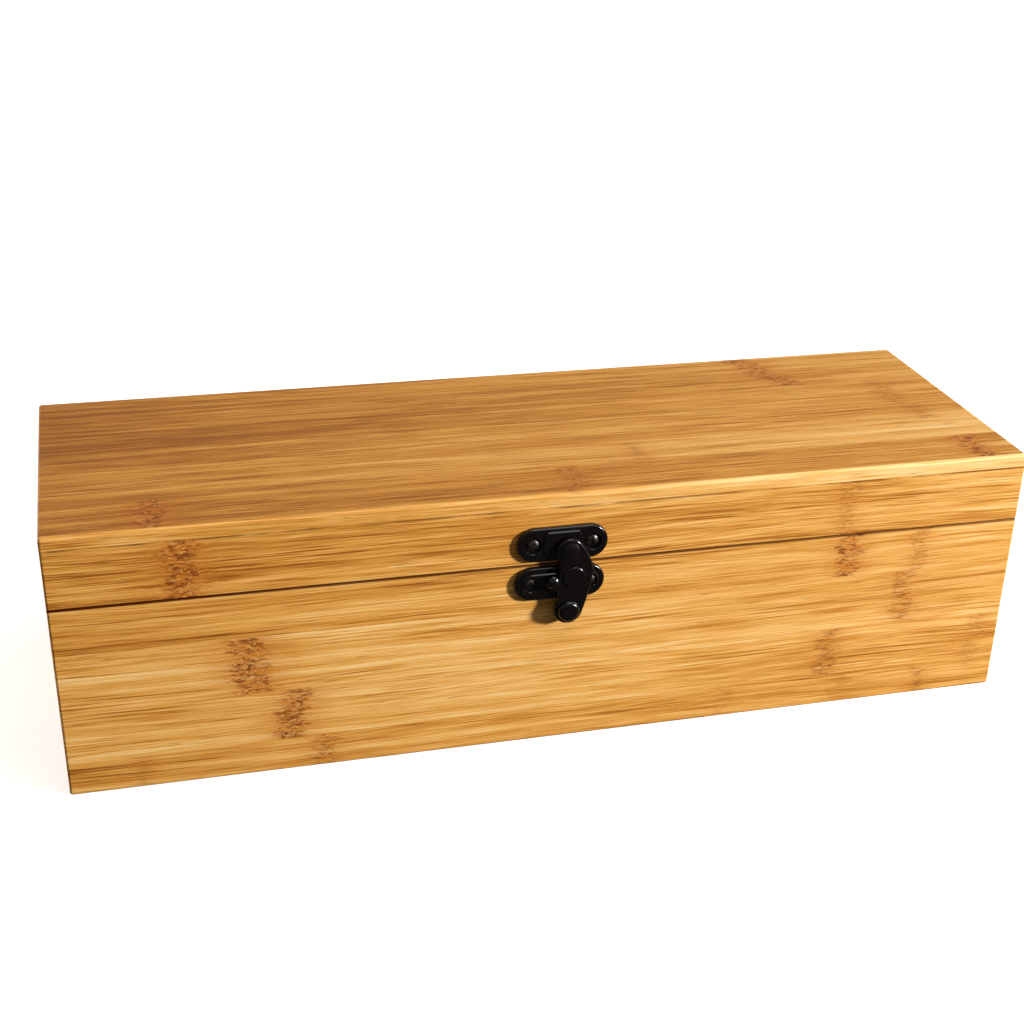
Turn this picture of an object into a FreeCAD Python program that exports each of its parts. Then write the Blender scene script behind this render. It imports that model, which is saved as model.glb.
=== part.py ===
import FreeCAD, Part
import math
import os
import Sketcher

# Hinged bamboo box: four mitred walls and a floor, a lid of four rails under a laid-on board,
# two butt hinges at the back and one swing hook latch at the front.
# Frame: origin at the centre of the underside, +X to the right of the front face, -Y out of the
# front face, +Z up. Millimetres.

# Driving sizes. Each becomes an aliased cell of the spreadsheet, in this order.
DRIVING = [
    # carcass
    ("box_length", 355.0),
    ("box_depth", 120.0),
    ("base_height", 72.9),
    ("lid_height", 26.4),
    ("seam_gap", 0.2),
    ("wall", 8.0),
    ("floor_board", 5.0),
    ("floor_seat", 4.0),
    ("top_board", 5.0),
    ("top_round", 1.3),
    ("corner_round", 1.0),
    ("rim_ease", 0.3),
    ("board_ease", 0.2),
    ("foot_ease", 0.8),
    ("glue_gap", 0.02),
    # hinges
    ("hinge_width", 24.0),
    ("hinge_inset", 62.0),
    ("leaf_reach", 11.0),
    ("leaf_sheet", 0.9),
    ("leaf_corner", 1.6),
    ("knuckle_radius", 1.6),
    ("knuckle_stand", 0.2),
    ("knuckle_gap", 0.2),
    ("leaf_relief", 0.3),
    ("pin_radius", 0.9),
    ("pin_play", 0.04),
    ("pin_head", 1.35),
    ("pin_cap", 0.5),
    ("leaf_screw_spread", 15.0),
    ("leaf_screw_drop", 7.0),
    # wood screws
    ("screw_radius", 0.9),
    ("screw_reach", 6.2),
    ("screw_tip", 2.0),
    ("screw_play", 0.03),
    ("sunk_head_depth", 0.85),
    ("pan_head_radius", 2.2),
    ("pan_head_height", 0.85),
    ("pan_head_dome", 0.6),
    ("recess_span", 2.4),
    ("recess_slot", 0.5),
    ("recess_depth", 0.4),
    # latch plates
    ("hook_plate_shift", -2.7),
    ("hook_plate_rise", 8.1),
    ("catch_plate_shift", -3.4),
    ("catch_plate_drop", 7.1),
    ("plate_width", 33.0),
    ("plate_height", 12.8),
    ("plate_sheet", 2.0),
    ("plate_round", 0.9),
    ("plate_screw_spread", 21.6),
    ("field_dish_radius", 3.1),
    ("field_dish_depth", 0.9),
    ("bead_dish_radius", 2.5),
    ("bead_dish_depth", 0.3),
    ("dish_ease", 0.2),
    ("field_width", 14.8),
    ("field_height", 10.2),
    ("field_bow", 1.7),
    ("field_lift", 0.6),
    ("field_round", 0.4),
    ("bead_width", 28.6),
    ("bead_height", 8.4),
    ("bead_lift", 0.45),
    ("bead_round", 0.35),
    # hook, its rivet and the stud it closes on
    ("pivot_side", 2.1),
    ("pivot_rise", 5.75),
    ("stud_side", -3.25),
    ("stud_drop", 5.3),
    ("hook_play", 0.05),
    ("hook_sheet", 2.0),
    ("hook_round", 0.8),
    ("hook_corner_round", 1.0),
    ("head_radius", 5.1),
    ("shoulder_bow", 0.8),
    ("bulge_side", 8.9),
    ("bulge_drop", 7.6),
    ("flank_bow", 0.5),
    ("knob_side", -0.1),
    ("knob_drop", 23.0),
    ("knob_radius", 5.2),
    ("knob_flank_angle", -20.0),
    ("knob_waist_angle", 140.0),
    ("button_radius", 4.0),
    ("button_lift", 1.7),
    ("button_round", 1.55),
    ("lip_depth", 1.2),
    ("lip_step", 3.4),
    ("lip_bow", 0.4),
    ("waist_bow", 0.2),
    ("boss_side", 1.6),
    ("boss_drop", 9.8),
    ("boss_radius", 4.1),
    ("boss_lift", 0.6),
    ("boss_round", 0.55),
    ("stem_play", 0.05),
    ("rivet_radius", 1.2),
    ("rivet_head_radius", 3.7),
    ("rivet_head_height", 1.05),
    ("rivet_dome", 0.85),
    ("tail_spread", 0.8),
    ("tail_depth", 0.5),
    ("neck_radius", 1.3),
    ("neck_clearance", 0.4),
    ("stud_head_radius", 2.4),
    ("stud_head_height", 1.4),
    ("stud_dome", 1.2),
    ("stud_play", 0.3),
]

KNUCKLES = 5
BASE_KNUCKLES = (-2, 0, 2)
LID_KNUCKLES = (-1, 1)
HANDS = (("left", -1), ("right", 1))
PAIR = (-0.5, 0.5)
UPRIGHT_TO_FRONT = ((1, 0, 0), 90)
UPRIGHT_TO_BACK = ((1, 0, 0), -90)
CLOSE = 1e-4

doc = FreeCAD.newDocument("hinged_bamboo_box")
sheet = doc.addObject("Spreadsheet::Sheet", "sizes")
for row, (alias, number) in enumerate(DRIVING, start=1):
    sheet.set("A%d" % row, alias)
    sheet.set("B%d" % row, str(number))
    sheet.setAlias("B%d" % row, alias)
doc.recompute()


class Size:
    """A number that carries its value and the spreadsheet formula that gives it."""

    def __init__(self, value, formula):
        self.value = value
        self.formula = formula

    @staticmethod
    def of(other):
        if isinstance(other, Size):
            return other
        return Size(float(other), "(%r)" % float(other))

    def __add__(self, other):
        other = Size.of(other)
        return Size(self.value + other.value, "(%s + %s)" % (self.formula, other.formula))

    def __sub__(self, other):
        other = Size.of(other)
        return Size(self.value - other.value, "(%s - %s)" % (self.formula, other.formula))

    def __mul__(self, other):
        other = Size.of(other)
        return Size(self.value * other.value, "(%s * %s)" % (self.formula, other.formula))

    def __truediv__(self, other):
        other = Size.of(other)
        return Size(self.value / other.value, "(%s / %s)" % (self.formula, other.formula))

    def __neg__(self):
        return Size(-self.value, "(-1 * %s)" % self.formula)


class Sizes:
    """The driving sizes by name, as Size values bound to their cells."""


size = Sizes()
for alias, number in DRIVING:
    setattr(size, alias, Size(number, "sizes." + alias))
ZERO = Size.of(0)


def root(square):
    """The square root of a Size."""
    return Size(math.sqrt(square.value), "sqrt(%s)" % square.formula)


def sine(angle):
    """The sine of a Size that is an angle in degrees."""
    return Size(math.sin(math.radians(angle.value)), "sin(%s * 1 deg)" % angle.formula)


def cosine(angle):
    """The cosine of a Size that is an angle in degrees."""
    return Size(math.cos(math.radians(angle.value)), "cos(%s * 1 deg)" % angle.formula)


# Places that several pieces share
half_length = size.box_length / 2
half_depth = size.box_depth / 2
rail_height = size.lid_height - size.top_board
lid_foot = size.base_height + size.seam_gap
seam_level = size.base_height + size.seam_gap / 2
pilot_radius = size.screw_radius + size.screw_play
sunk_head_radius = size.screw_radius + size.sunk_head_depth
leaf_back = size.knuckle_radius + size.knuckle_stand
hinge_axis_depth = half_depth + leaf_back
knuckle_pitch = size.hinge_width / KNUCKLES
base_leaf_row = seam_level - size.leaf_screw_drop
lid_leaf_row = seam_level + size.leaf_screw_drop
hook_plate_level = seam_level + size.hook_plate_rise
catch_plate_level = seam_level - size.catch_plate_drop
hook_back = size.plate_sheet + size.field_lift + size.hook_play
hook_front = hook_back + size.hook_sheet
pivot_across = size.hook_plate_shift + size.pivot_side
stud_across = size.catch_plate_shift + size.stud_side - pivot_across
stud_down = -(size.pivot_rise + size.stud_drop)
throat = size.neck_radius + size.neck_clearance

kept = []


def bind(target, path, length):
    """Ties a property or constraint to a Size's formula."""
    target.setExpression(path, length.formula)


def new_body(label, is_node=True):
    """A body. It is a node of its own unless it goes into a group."""
    body = doc.addObject("PartDesign::Body", label)
    body.Label = label
    if is_node:
        kept.append(body)
    return body


def group(label, members):
    """One node that holds several identical, separate solids."""
    compound = doc.addObject("Part::Compound", label)
    compound.Label = label
    compound.Links = members
    kept.append(compound)


def place(body, x=ZERO, y=ZERO, z=ZERO, turn=((0, 0, 1), 0)):
    """Puts a finished body in the box's frame, its position bound to the sizes."""
    rotation = FreeCAD.Rotation(FreeCAD.Vector(*turn[0]), turn[1])
    body.Placement = FreeCAD.Placement(FreeCAD.Vector(x.value, y.value, z.value), rotation)
    bind(body, "Placement.Base.x", x)
    bind(body, "Placement.Base.y", y)
    bind(body, "Placement.Base.z", z)


def new_sketch(body, role, lift=ZERO):
    """An empty sketch on one of the body's origin planes, lifted along the plane's normal."""
    plane = [item for item in body.Origin.OriginFeatures if item.Role == role][0]
    sketch = body.newObject("Sketcher::SketchObject", body.Label + "_sketch")
    sketch.AttachmentSupport = [(plane, "")]
    sketch.MapMode = "FlatFace"
    sketch.AttachmentOffset = FreeCAD.Placement(FreeCAD.Vector(0, 0, lift.value), FreeCAD.Rotation())
    bind(sketch, "AttachmentOffset.Base.z", lift)
    return sketch


def fix_point(sketch, geometry, end, x, y):
    """Holds one point of a sketch at its distances from the origin, bound to the sizes."""
    for kind, length in (("DistanceX", x), ("DistanceY", y)):
        constraint = Sketcher.Constraint(kind, -1, 1, geometry, end, length.value)
        index = sketch.addConstraint(constraint)
        bind(sketch, "Constraints[%d]" % index, length)


def draw_outline(sketch, points):
    """A closed outline. Each point is (x, y) for a line onward, or (x, y, mid_x, mid_y) for an
    arc onward that passes through the middle point."""
    edges = []
    for number, point in enumerate(points):
        following = points[(number + 1) % len(points)]
        begin = FreeCAD.Vector(point[0].value, point[1].value, 0)
        finish = FreeCAD.Vector(following[0].value, following[1].value, 0)
        if len(point) == 2:
            edges.append((sketch.addGeometry(Part.LineSegment(begin, finish)), 1, 2))
            continue
        middle = FreeCAD.Vector(point[2].value, point[3].value, 0)
        edge = sketch.addGeometry(Part.Arc(begin, middle, finish))
        drawn_from_begin = (sketch.getPoint(edge, 1) - begin).Length < CLOSE
        edges.append((edge, 1, 2) if drawn_from_begin else (edge, 2, 1))
    for number, (edge, first, last) in enumerate(edges):
        next_edge, next_first, _ = edges[(number + 1) % len(points)]
        sketch.addConstraint(Sketcher.Constraint("Coincident", edge, last, next_edge, next_first))
    for point, (edge, first, _) in zip(points, edges):
        fix_point(sketch, edge, first, point[0], point[1])
        if len(point) == 4:
            middle = FreeCAD.Vector(point[2].value, point[3].value, 0)
            guide = sketch.addGeometry(Part.Point(middle), True)
            fix_point(sketch, guide, 1, point[2], point[3])
            sketch.addConstraint(Sketcher.Constraint("PointOnObject", guide, 1, edge))


def draw_rectangle(sketch, x_low, y_low, x_high, y_high):
    """A rectangle between two corners."""
    draw_outline(sketch, [(x_low, y_low), (x_high, y_low), (x_high, y_high), (x_low, y_high)])


def draw_circle(sketch, x, y, radius):
    """A circle whose centre and radius are bound to the sizes."""
    centre = FreeCAD.Vector(x.value, y.value, 0)
    edge = sketch.addGeometry(Part.Circle(centre, FreeCAD.Vector(0, 0, 1), radius.value))
    fix_point(sketch, edge, 3, x, y)
    index = sketch.addConstraint(Sketcher.Constraint("Radius", edge, radius.value))
    bind(sketch, "Constraints[%d]" % index, radius)


def draw_stadium(sketch, width, height):
    """A slot shape with round ends, centred on the sketch."""
    half = width / 2
    end = height / 2
    run = half - end
    draw_outline(sketch, [(-run, -end), (run, -end, half, ZERO), (run, end), (-run, end, -half, ZERO)])


def draw_barrel(sketch, width, height, bow):
    """A block with flat top and bottom and bowed ends, centred on the sketch."""
    half = width / 2
    rise = height / 2
    run = half - bow
    draw_outline(
        sketch,
        [(-run, -rise), (run, -rise, half, ZERO), (run, rise), (-run, rise, -half, ZERO)],
    )


def pad(body, sketch, length, midplane=False, reverse=False):
    """Grows a solid from a sketch along its normal, or the other way."""
    feature = body.newObject("PartDesign::Pad", body.Label + "_pad")
    feature.Profile = sketch
    bind(feature, "Length", length)
    feature.Midplane = midplane
    feature.Reversed = reverse
    doc.recompute()


def cut(body, sketch, length=None, along_normal=False):
    """Cuts a sketch from the body, right through both ways or to a depth, and checks that it cut."""
    before = body.Shape.Volume
    feature = body.newObject("PartDesign::Pocket", body.Label + "_pocket")
    feature.Profile = sketch
    if length is None:
        feature.Type = "ThroughAll"
        feature.Midplane = True
    else:
        bind(feature, "Length", length)
        feature.Reversed = along_normal
    doc.recompute()
    if body.Shape.Volume >= before:
        raise RuntimeError("a pocket of %s cuts nothing" % body.Label)


def revolve(body, sketch):
    """Turns a sketch right round its own vertical axis."""
    feature = body.newObject("PartDesign::Revolution", body.Label + "_revolution")
    feature.Profile = sketch
    feature.ReferenceAxis = (sketch, ["V_Axis"])
    feature.Angle = 360.0
    doc.recompute()


def dress(body, kind, wanted, amount):
    """Fillets or chamfers the edges of the body's present shape that pass a test."""
    base = body.Tip
    names = ["Edge%d" % number for number, edge in enumerate(base.Shape.Edges, 1) if wanted(edge)]
    if not names:
        raise RuntimeError("no edge of %s passes the test" % body.Label)
    feature = body.newObject("PartDesign::" + kind, body.Label + "_" + kind.lower())
    feature.Base = (base, names)
    bind(feature, "Radius" if kind == "Fillet" else "Size", amount)
    doc.recompute()


def at_height(level):
    """A test for edges that lie wholly at one height of the body."""
    low = level.value - CLOSE
    high = level.value + CLOSE
    return lambda edge: edge.BoundBox.ZMin > low and edge.BoundBox.ZMax < high


def upright_at(*points):
    """A test for a body's upright edges that stand at any of these points."""

    def wanted(edge):
        box = edge.BoundBox
        if box.ZLength < CLOSE or max(box.XLength, box.YLength) > CLOSE:
            return False
        return any(math.hypot(box.XMin - x.value, box.YMin - y.value) < CLOSE for x, y in points)

    return wanted


def on_outer_face(level):
    """A test for a board's straight edges that lie on its outer face at one height."""
    flat = at_height(level)
    return lambda edge: flat(edge) and abs(edge.BoundBox.YMax) < CLOSE


# Carcass

# Each side of the box: its turn about the upright axis, where the middle of its outer face is,
# and how long it is.
SIDES = {
    "front": (0, ZERO, -half_depth, size.box_length),
    "right": (90, half_length, ZERO, size.box_depth),
    "back": (180, ZERO, half_depth, size.box_length),
    "left": (270, -half_length, ZERO, size.box_depth),
}


def mitred_board(label, side, foot, height):
    """One board with mitred ends, drawn with its outer face on local y = 0 and turned to its side.
    The round outer corner of the box is shared by the two boards that meet there."""
    turn, x, y, run = SIDES[side]
    half_run = run / 2
    radius = size.corner_round
    round_end = radius * (1 - math.sin(math.radians(45)))
    round_middle_along = radius * (1 - math.sin(math.radians(22.5)))
    round_middle_deep = radius * (1 - math.cos(math.radians(22.5)))
    outer = half_run - radius
    middle = half_run - round_middle_along
    mitre_outer = half_run - round_end - size.glue_gap
    mitre_inner = half_run - size.wall - size.glue_gap
    body = new_body(label)
    sketch = new_sketch(body, "XY_Plane")
    draw_outline(
        sketch,
        [
            (-outer, ZERO),
            (outer, ZERO, middle, round_middle_deep),
            (mitre_outer, round_end),
            (mitre_inner, size.wall),
            (-mitre_inner, size.wall),
            (-mitre_outer, round_end, -middle, round_middle_deep),
        ],
    )
    pad(body, sketch, height)
    place(body, x, y, foot, ((0, 0, 1), turn))
    return body


def pilot_holes(body, spots):
    """Blind holes for wood screws, bored square into the outer face. Spots are local (x, z)."""
    sketch = new_sketch(body, "XZ_Plane")
    for x, z in spots:
        draw_circle(sketch, x, z, pilot_radius)
    cut(body, sketch, size.screw_reach + size.glue_gap)


def leaf_screw_spots(level):
    """Where one row of hinge screws enters a back board, for both hinges."""
    spots = []
    for _, hand in HANDS:
        centre = (half_length - size.hinge_inset) * hand
        spots += [(centre + size.leaf_screw_spread * step, level) for step in PAIR]
    return spots


def plate_screw_spots(middle, level):
    """Where a latch plate's two screws enter a front board."""
    return [(middle + size.plate_screw_spread * step, level) for step in PAIR]


def catch_screw_spots():
    """Where the screws of the base's latch plate go."""
    return plate_screw_spots(size.catch_plate_shift, catch_plate_level)


def base_wall(side):
    """A wall of the base, with a rebate along its inner foot for the floor board."""
    body = mitred_board("base_%s_wall" % side, side, ZERO, size.base_height)
    half_run = SIDES[side][3] / 2
    rebate = new_sketch(body, "XY_Plane")
    draw_rectangle(rebate, -half_run, size.wall - size.floor_seat, half_run, size.wall + size.floor_seat)
    cut(body, rebate, size.floor_board, along_normal=True)
    dress(body, "Chamfer", on_outer_face(size.base_height), size.rim_ease)
    dress(body, "Chamfer", on_outer_face(ZERO), size.foot_ease)
    if side == "front":
        pilot_holes(body, catch_screw_spots())
    if side == "back":
        pilot_holes(body, leaf_screw_spots(base_leaf_row))


def base_floor():
    """The floor board, flush with the underside, in the walls' rebates."""
    body = new_body("base_floor")
    sketch = new_sketch(body, "XY_Plane")
    inset = size.wall - size.floor_seat + size.glue_gap
    draw_rectangle(
        sketch, inset - half_length, inset - half_depth, half_length - inset, half_depth - inset
    )
    pad(body, sketch, size.floor_board - size.glue_gap)
    place(body)


def lid_rail(side):
    """One side of the lid, under the top board."""
    body = mitred_board("lid_%s_rail" % side, side, lid_foot, rail_height - size.glue_gap)
    dress(body, "Chamfer", on_outer_face(ZERO), size.rim_ease)
    if side == "front":
        pilot_holes(body, plate_screw_spots(size.hook_plate_shift, hook_plate_level - lid_foot))
    if side == "back":
        pilot_holes(body, leaf_screw_spots(lid_leaf_row - lid_foot))


def lid_top_board():
    """The board laid over the rails, its upper edges rounded over."""
    body = new_body("lid_top_board")
    sketch = new_sketch(body, "XY_Plane")
    draw_rectangle(sketch, -half_length, -half_depth, half_length, half_depth)
    pad(body, sketch, size.top_board)
    dress(body, "Fillet", lambda edge: edge.BoundBox.ZLength > CLOSE, size.corner_round)
    dress(body, "Fillet", at_height(size.top_board), size.top_round)
    dress(body, "Chamfer", at_height(ZERO), size.board_ease)
    place(body, z=lid_foot + rail_height)


# Screws


def domed(radius, rim, top):
    """The rim point of a round cap, from which its arc runs up to the axis at the top."""
    rise = top - rim
    ball = (radius * radius + rise * rise) / rise / 2
    middle_out = root(ball * rise / 2)
    middle_up = top - ball + root(ball * ball - ball * rise / 2)
    return (radius, rim, middle_out, middle_up)


def cross_recess(body, top):
    """A cross-shaped driver recess, cut down into a screw head."""
    arm = size.recess_span / 2
    slot = size.recess_slot / 2
    sketch = new_sketch(body, "XY_Plane", top)
    draw_outline(
        sketch,
        [
            (-arm, -slot),
            (-slot, -slot),
            (-slot, -arm),
            (slot, -arm),
            (slot, -slot),
            (arm, -slot),
            (arm, slot),
            (slot, slot),
            (slot, arm),
            (-slot, arm),
            (-slot, slot),
            (-arm, slot),
        ],
    )
    cut(body, sketch, size.recess_depth)


def flat_head_screw(label, x, z):
    """A countersunk wood screw through a hinge leaf into the back of the box."""
    body = new_body(label, is_node=False)
    sketch = new_sketch(body, "XZ_Plane")
    reach = size.leaf_sheet + size.screw_reach
    draw_outline(
        sketch,
        [
            (ZERO, ZERO),
            (sunk_head_radius, ZERO),
            (size.screw_radius, -size.sunk_head_depth),
            (size.screw_radius, size.screw_tip - reach),
            (ZERO, -reach),
        ],
    )
    revolve(body, sketch)
    cross_recess(body, ZERO)
    place(body, x, half_depth + size.leaf_sheet, z, UPRIGHT_TO_BACK)
    return body


def pan_head_screw(label, x, z, seat):
    """A pan-head wood screw whose head seats in a latch plate's dish, this far off the wood. The
    underside of its head is local z = 0."""
    body = new_body(label, is_node=False)
    sketch = new_sketch(body, "XZ_Plane")
    height = size.pan_head_height
    reach = seat + size.screw_reach
    draw_outline(
        sketch,
        [
            (ZERO, height),
            (ZERO, -reach),
            (size.screw_radius, size.screw_tip - reach),
            (size.screw_radius, ZERO),
            (size.pan_head_radius, ZERO),
            domed(size.pan_head_radius, height - size.pan_head_dome, height),
        ],
    )
    revolve(body, sketch)
    cross_recess(body, height)
    place(body, x, -(half_depth + seat), z, UPRIGHT_TO_FRONT)
    return body


def screw_group(label, maker, spots, *more):
    """A row of like screws as one node."""
    group(label, [maker("%s_%d" % (label, n), x, z, *more) for n, (x, z) in enumerate(spots, 1)])


# Hinges


def hinge_leaf(label, centre, way, own_knuckles, other_knuckles):
    """One leaf and its knuckles, drawn around the hinge axis. The leaf goes up for way 1 and
    down for way -1. Its back face lies on the box."""
    body = new_body(label)
    half_width = size.hinge_width / 2
    near = size.knuckle_radius / 2
    plate = new_sketch(body, "XZ_Plane", leaf_back - size.leaf_sheet)
    draw_rectangle(plate, -half_width, near * way, half_width, size.leaf_reach * way)
    pad(body, plate, size.leaf_sheet)
    tip = size.leaf_reach.value * way
    at_tip = lambda edge: edge.BoundBox.YLength > CLOSE and abs(edge.BoundBox.ZMin - tip) < CLOSE
    dress(body, "Fillet", at_tip, size.leaf_corner)
    barrel = new_sketch(body, "YZ_Plane")
    draw_circle(barrel, ZERO, ZERO, size.knuckle_radius)
    pad(body, barrel, size.hinge_width, midplane=True)
    bore = new_sketch(body, "YZ_Plane")
    draw_circle(bore, ZERO, ZERO, size.pin_radius + size.pin_play)
    cut(body, bore)
    # the other leaf's knuckles turn in these notches
    notches = new_sketch(body, "XZ_Plane")
    clear = size.knuckle_radius + size.leaf_relief
    half_notch = (knuckle_pitch + size.knuckle_gap) / 2
    for number in other_knuckles:
        middle = knuckle_pitch * number
        past_low = size.leaf_relief if number < min(own_knuckles) else ZERO
        past_high = size.leaf_relief if number > max(own_knuckles) else ZERO
        low = middle - half_notch - past_low
        high = middle + half_notch + past_high
        draw_rectangle(notches, low, -clear, high, clear)
    cut(body, notches)
    holes = new_sketch(body, "XZ_Plane")
    for step in PAIR:
        draw_circle(holes, size.leaf_screw_spread * step, size.leaf_screw_drop * way, pilot_radius)
    cut(body, holes)
    outer_face = (size.leaf_sheet - leaf_back).value
    hole_rims = lambda edge: (
        isinstance(edge.Curve, Part.Circle)
        and abs(edge.Curve.Radius - pilot_radius.value) < CLOSE
        and abs(edge.BoundBox.YMin - outer_face) < CLOSE
    )
    dress(body, "Chamfer", hole_rims, size.sunk_head_depth)
    place(body, centre, hinge_axis_depth, seam_level)


def hinge_pin(label, centre):
    """The pin, with a small cap past each end of the barrel."""
    body = new_body(label)
    outer = size.hinge_width + size.knuckle_gap
    shank = new_sketch(body, "YZ_Plane")
    draw_circle(shank, ZERO, ZERO, size.pin_radius)
    pad(body, shank, outer + size.pin_cap, midplane=True)
    for _, hand in HANDS:
        cap = new_sketch(body, "YZ_Plane", outer / 2 * hand)
        draw_circle(cap, ZERO, ZERO, size.pin_head)
        pad(body, cap, size.pin_cap, reverse=hand < 0)
    place(body, centre, hinge_axis_depth, seam_level)


def hinges():
    """Two butt hinges on the back, their axis level with the seam."""
    for name, hand in HANDS:
        centre = (half_length - size.hinge_inset) * hand
        hinge_leaf("%s_hinge_base_leaf" % name, centre, -1, BASE_KNUCKLES, LID_KNUCKLES)
        hinge_leaf("%s_hinge_lid_leaf" % name, centre, 1, LID_KNUCKLES, BASE_KNUCKLES)
        hinge_pin("%s_hinge_pin" % name, centre)
    screw_group("base_hinge_screws", flat_head_screw, leaf_screw_spots(base_leaf_row))
    screw_group("lid_hinge_screws", flat_head_screw, leaf_screw_spots(lid_leaf_row))


# Latch. Its pieces are drawn with their front towards local +z and turned to face the front.


def drill_plate(body, dish_radius, dish_depth, stem_x, stem_y, stem_radius):
    """A plate's screw dishes and holes, its stem hole, and the seat behind for the stem's tail."""
    dishes = new_sketch(body, "XY_Plane", size.plate_sheet - dish_depth)
    holes = new_sketch(body, "XY_Plane")
    for step in PAIR:
        draw_circle(dishes, size.plate_screw_spread * step, ZERO, dish_radius)
        draw_circle(holes, size.plate_screw_spread * step, ZERO, pilot_radius)
    cut(body, dishes, dish_depth + size.field_lift, along_normal=True)
    mouths = lambda edge: (
        isinstance(edge.Curve, Part.Circle)
        and abs(edge.Curve.Radius - dish_radius.value) < CLOSE
        and edge.BoundBox.ZMin > size.plate_sheet.value - CLOSE
    )
    dress(body, "Chamfer", mouths, size.dish_ease)
    draw_circle(holes, stem_x, stem_y, stem_radius + size.stem_play)
    cut(body, holes)
    seat = new_sketch(body, "XY_Plane")
    draw_circle(seat, stem_x, stem_y, stem_radius + size.tail_spread + size.stem_play)
    cut(body, seat, size.tail_depth, along_normal=True)


def latch_plate(label):
    """A cast plate with round ends and a rounded front rim."""
    body = new_body(label)
    sketch = new_sketch(body, "XY_Plane")
    draw_stadium(sketch, size.plate_width, size.plate_height)
    pad(body, sketch, size.plate_sheet)
    dress(body, "Fillet", at_height(size.plate_sheet), size.plate_round)
    return body


def lid_latch_plate():
    """The lid's plate, with a raised field that carries the hook clear of the screw heads."""
    body = latch_plate("lid_latch_plate")
    field = new_sketch(body, "XY_Plane", size.plate_sheet)
    draw_barrel(field, size.field_width, size.field_height, size.field_bow)
    pad(body, field, size.field_lift)
    dress(body, "Chamfer", at_height(size.plate_sheet + size.field_lift), size.field_round)
    stem_y = size.pivot_rise - size.hook_plate_rise
    dish = (size.field_dish_radius, size.field_dish_depth)
    drill_plate(body, *dish, size.pivot_side, stem_y, size.rivet_radius)
    place(body, size.hook_plate_shift, -half_depth, hook_plate_level, UPRIGHT_TO_FRONT)


def base_latch_plate():
    """The base's plate, with a long raised bead round the stud and the screws."""
    body = latch_plate("base_latch_plate")
    bead = new_sketch(body, "XY_Plane", size.plate_sheet)
    draw_stadium(bead, size.bead_width, size.bead_height)
    pad(body, bead, size.bead_lift)
    dress(body, "Chamfer", at_height(size.plate_sheet + size.bead_lift), size.bead_round)
    stem_y = size.catch_plate_drop - size.stud_drop
    dish = (size.bead_dish_radius, size.bead_dish_depth)
    drill_plate(body, *dish, size.stud_side, stem_y, size.neck_radius)
    place(body, size.catch_plate_shift, -half_depth, catch_plate_level, UPRIGHT_TO_FRONT)


def headed_stem(label, x, z, stem_radius, head_foot, head_radius, head_height, dome):
    """A tail behind the plate, a stem through it, and a domed head in front."""
    body = new_body(label)
    sketch = new_sketch(body, "XZ_Plane")
    tail_radius = stem_radius + size.tail_spread
    top = head_foot + head_height
    draw_outline(
        sketch,
        [
            (ZERO, ZERO),
            (tail_radius, ZERO),
            (tail_radius, size.tail_depth),
            (stem_radius, size.tail_depth),
            (stem_radius, head_foot),
            (head_radius, head_foot),
            domed(head_radius, top - dome, top),
            (ZERO, top),
        ],
    )
    revolve(body, sketch)
    place(body, x, -half_depth, z, UPRIGHT_TO_FRONT)


def bowed(begin, finish, rise):
    """The point from which a line onward becomes an arc that bows out by a rise to the left."""
    run_x = finish[0] - begin[0]
    run_y = finish[1] - begin[1]
    run = root(run_x * run_x + run_y * run_y)
    middle_x = (begin[0] + finish[0]) / 2 - run_y / run * rise
    middle_y = (begin[1] + finish[1]) / 2 + run_x / run * rise
    return begin + (middle_x, middle_y)


def round_knob(angle):
    """A point of the knob's rim, at an angle in degrees."""
    x = size.knob_side + size.knob_radius * cosine(angle)
    y = size.knob_radius * sine(angle) - size.knob_drop
    return (x, y)


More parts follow.
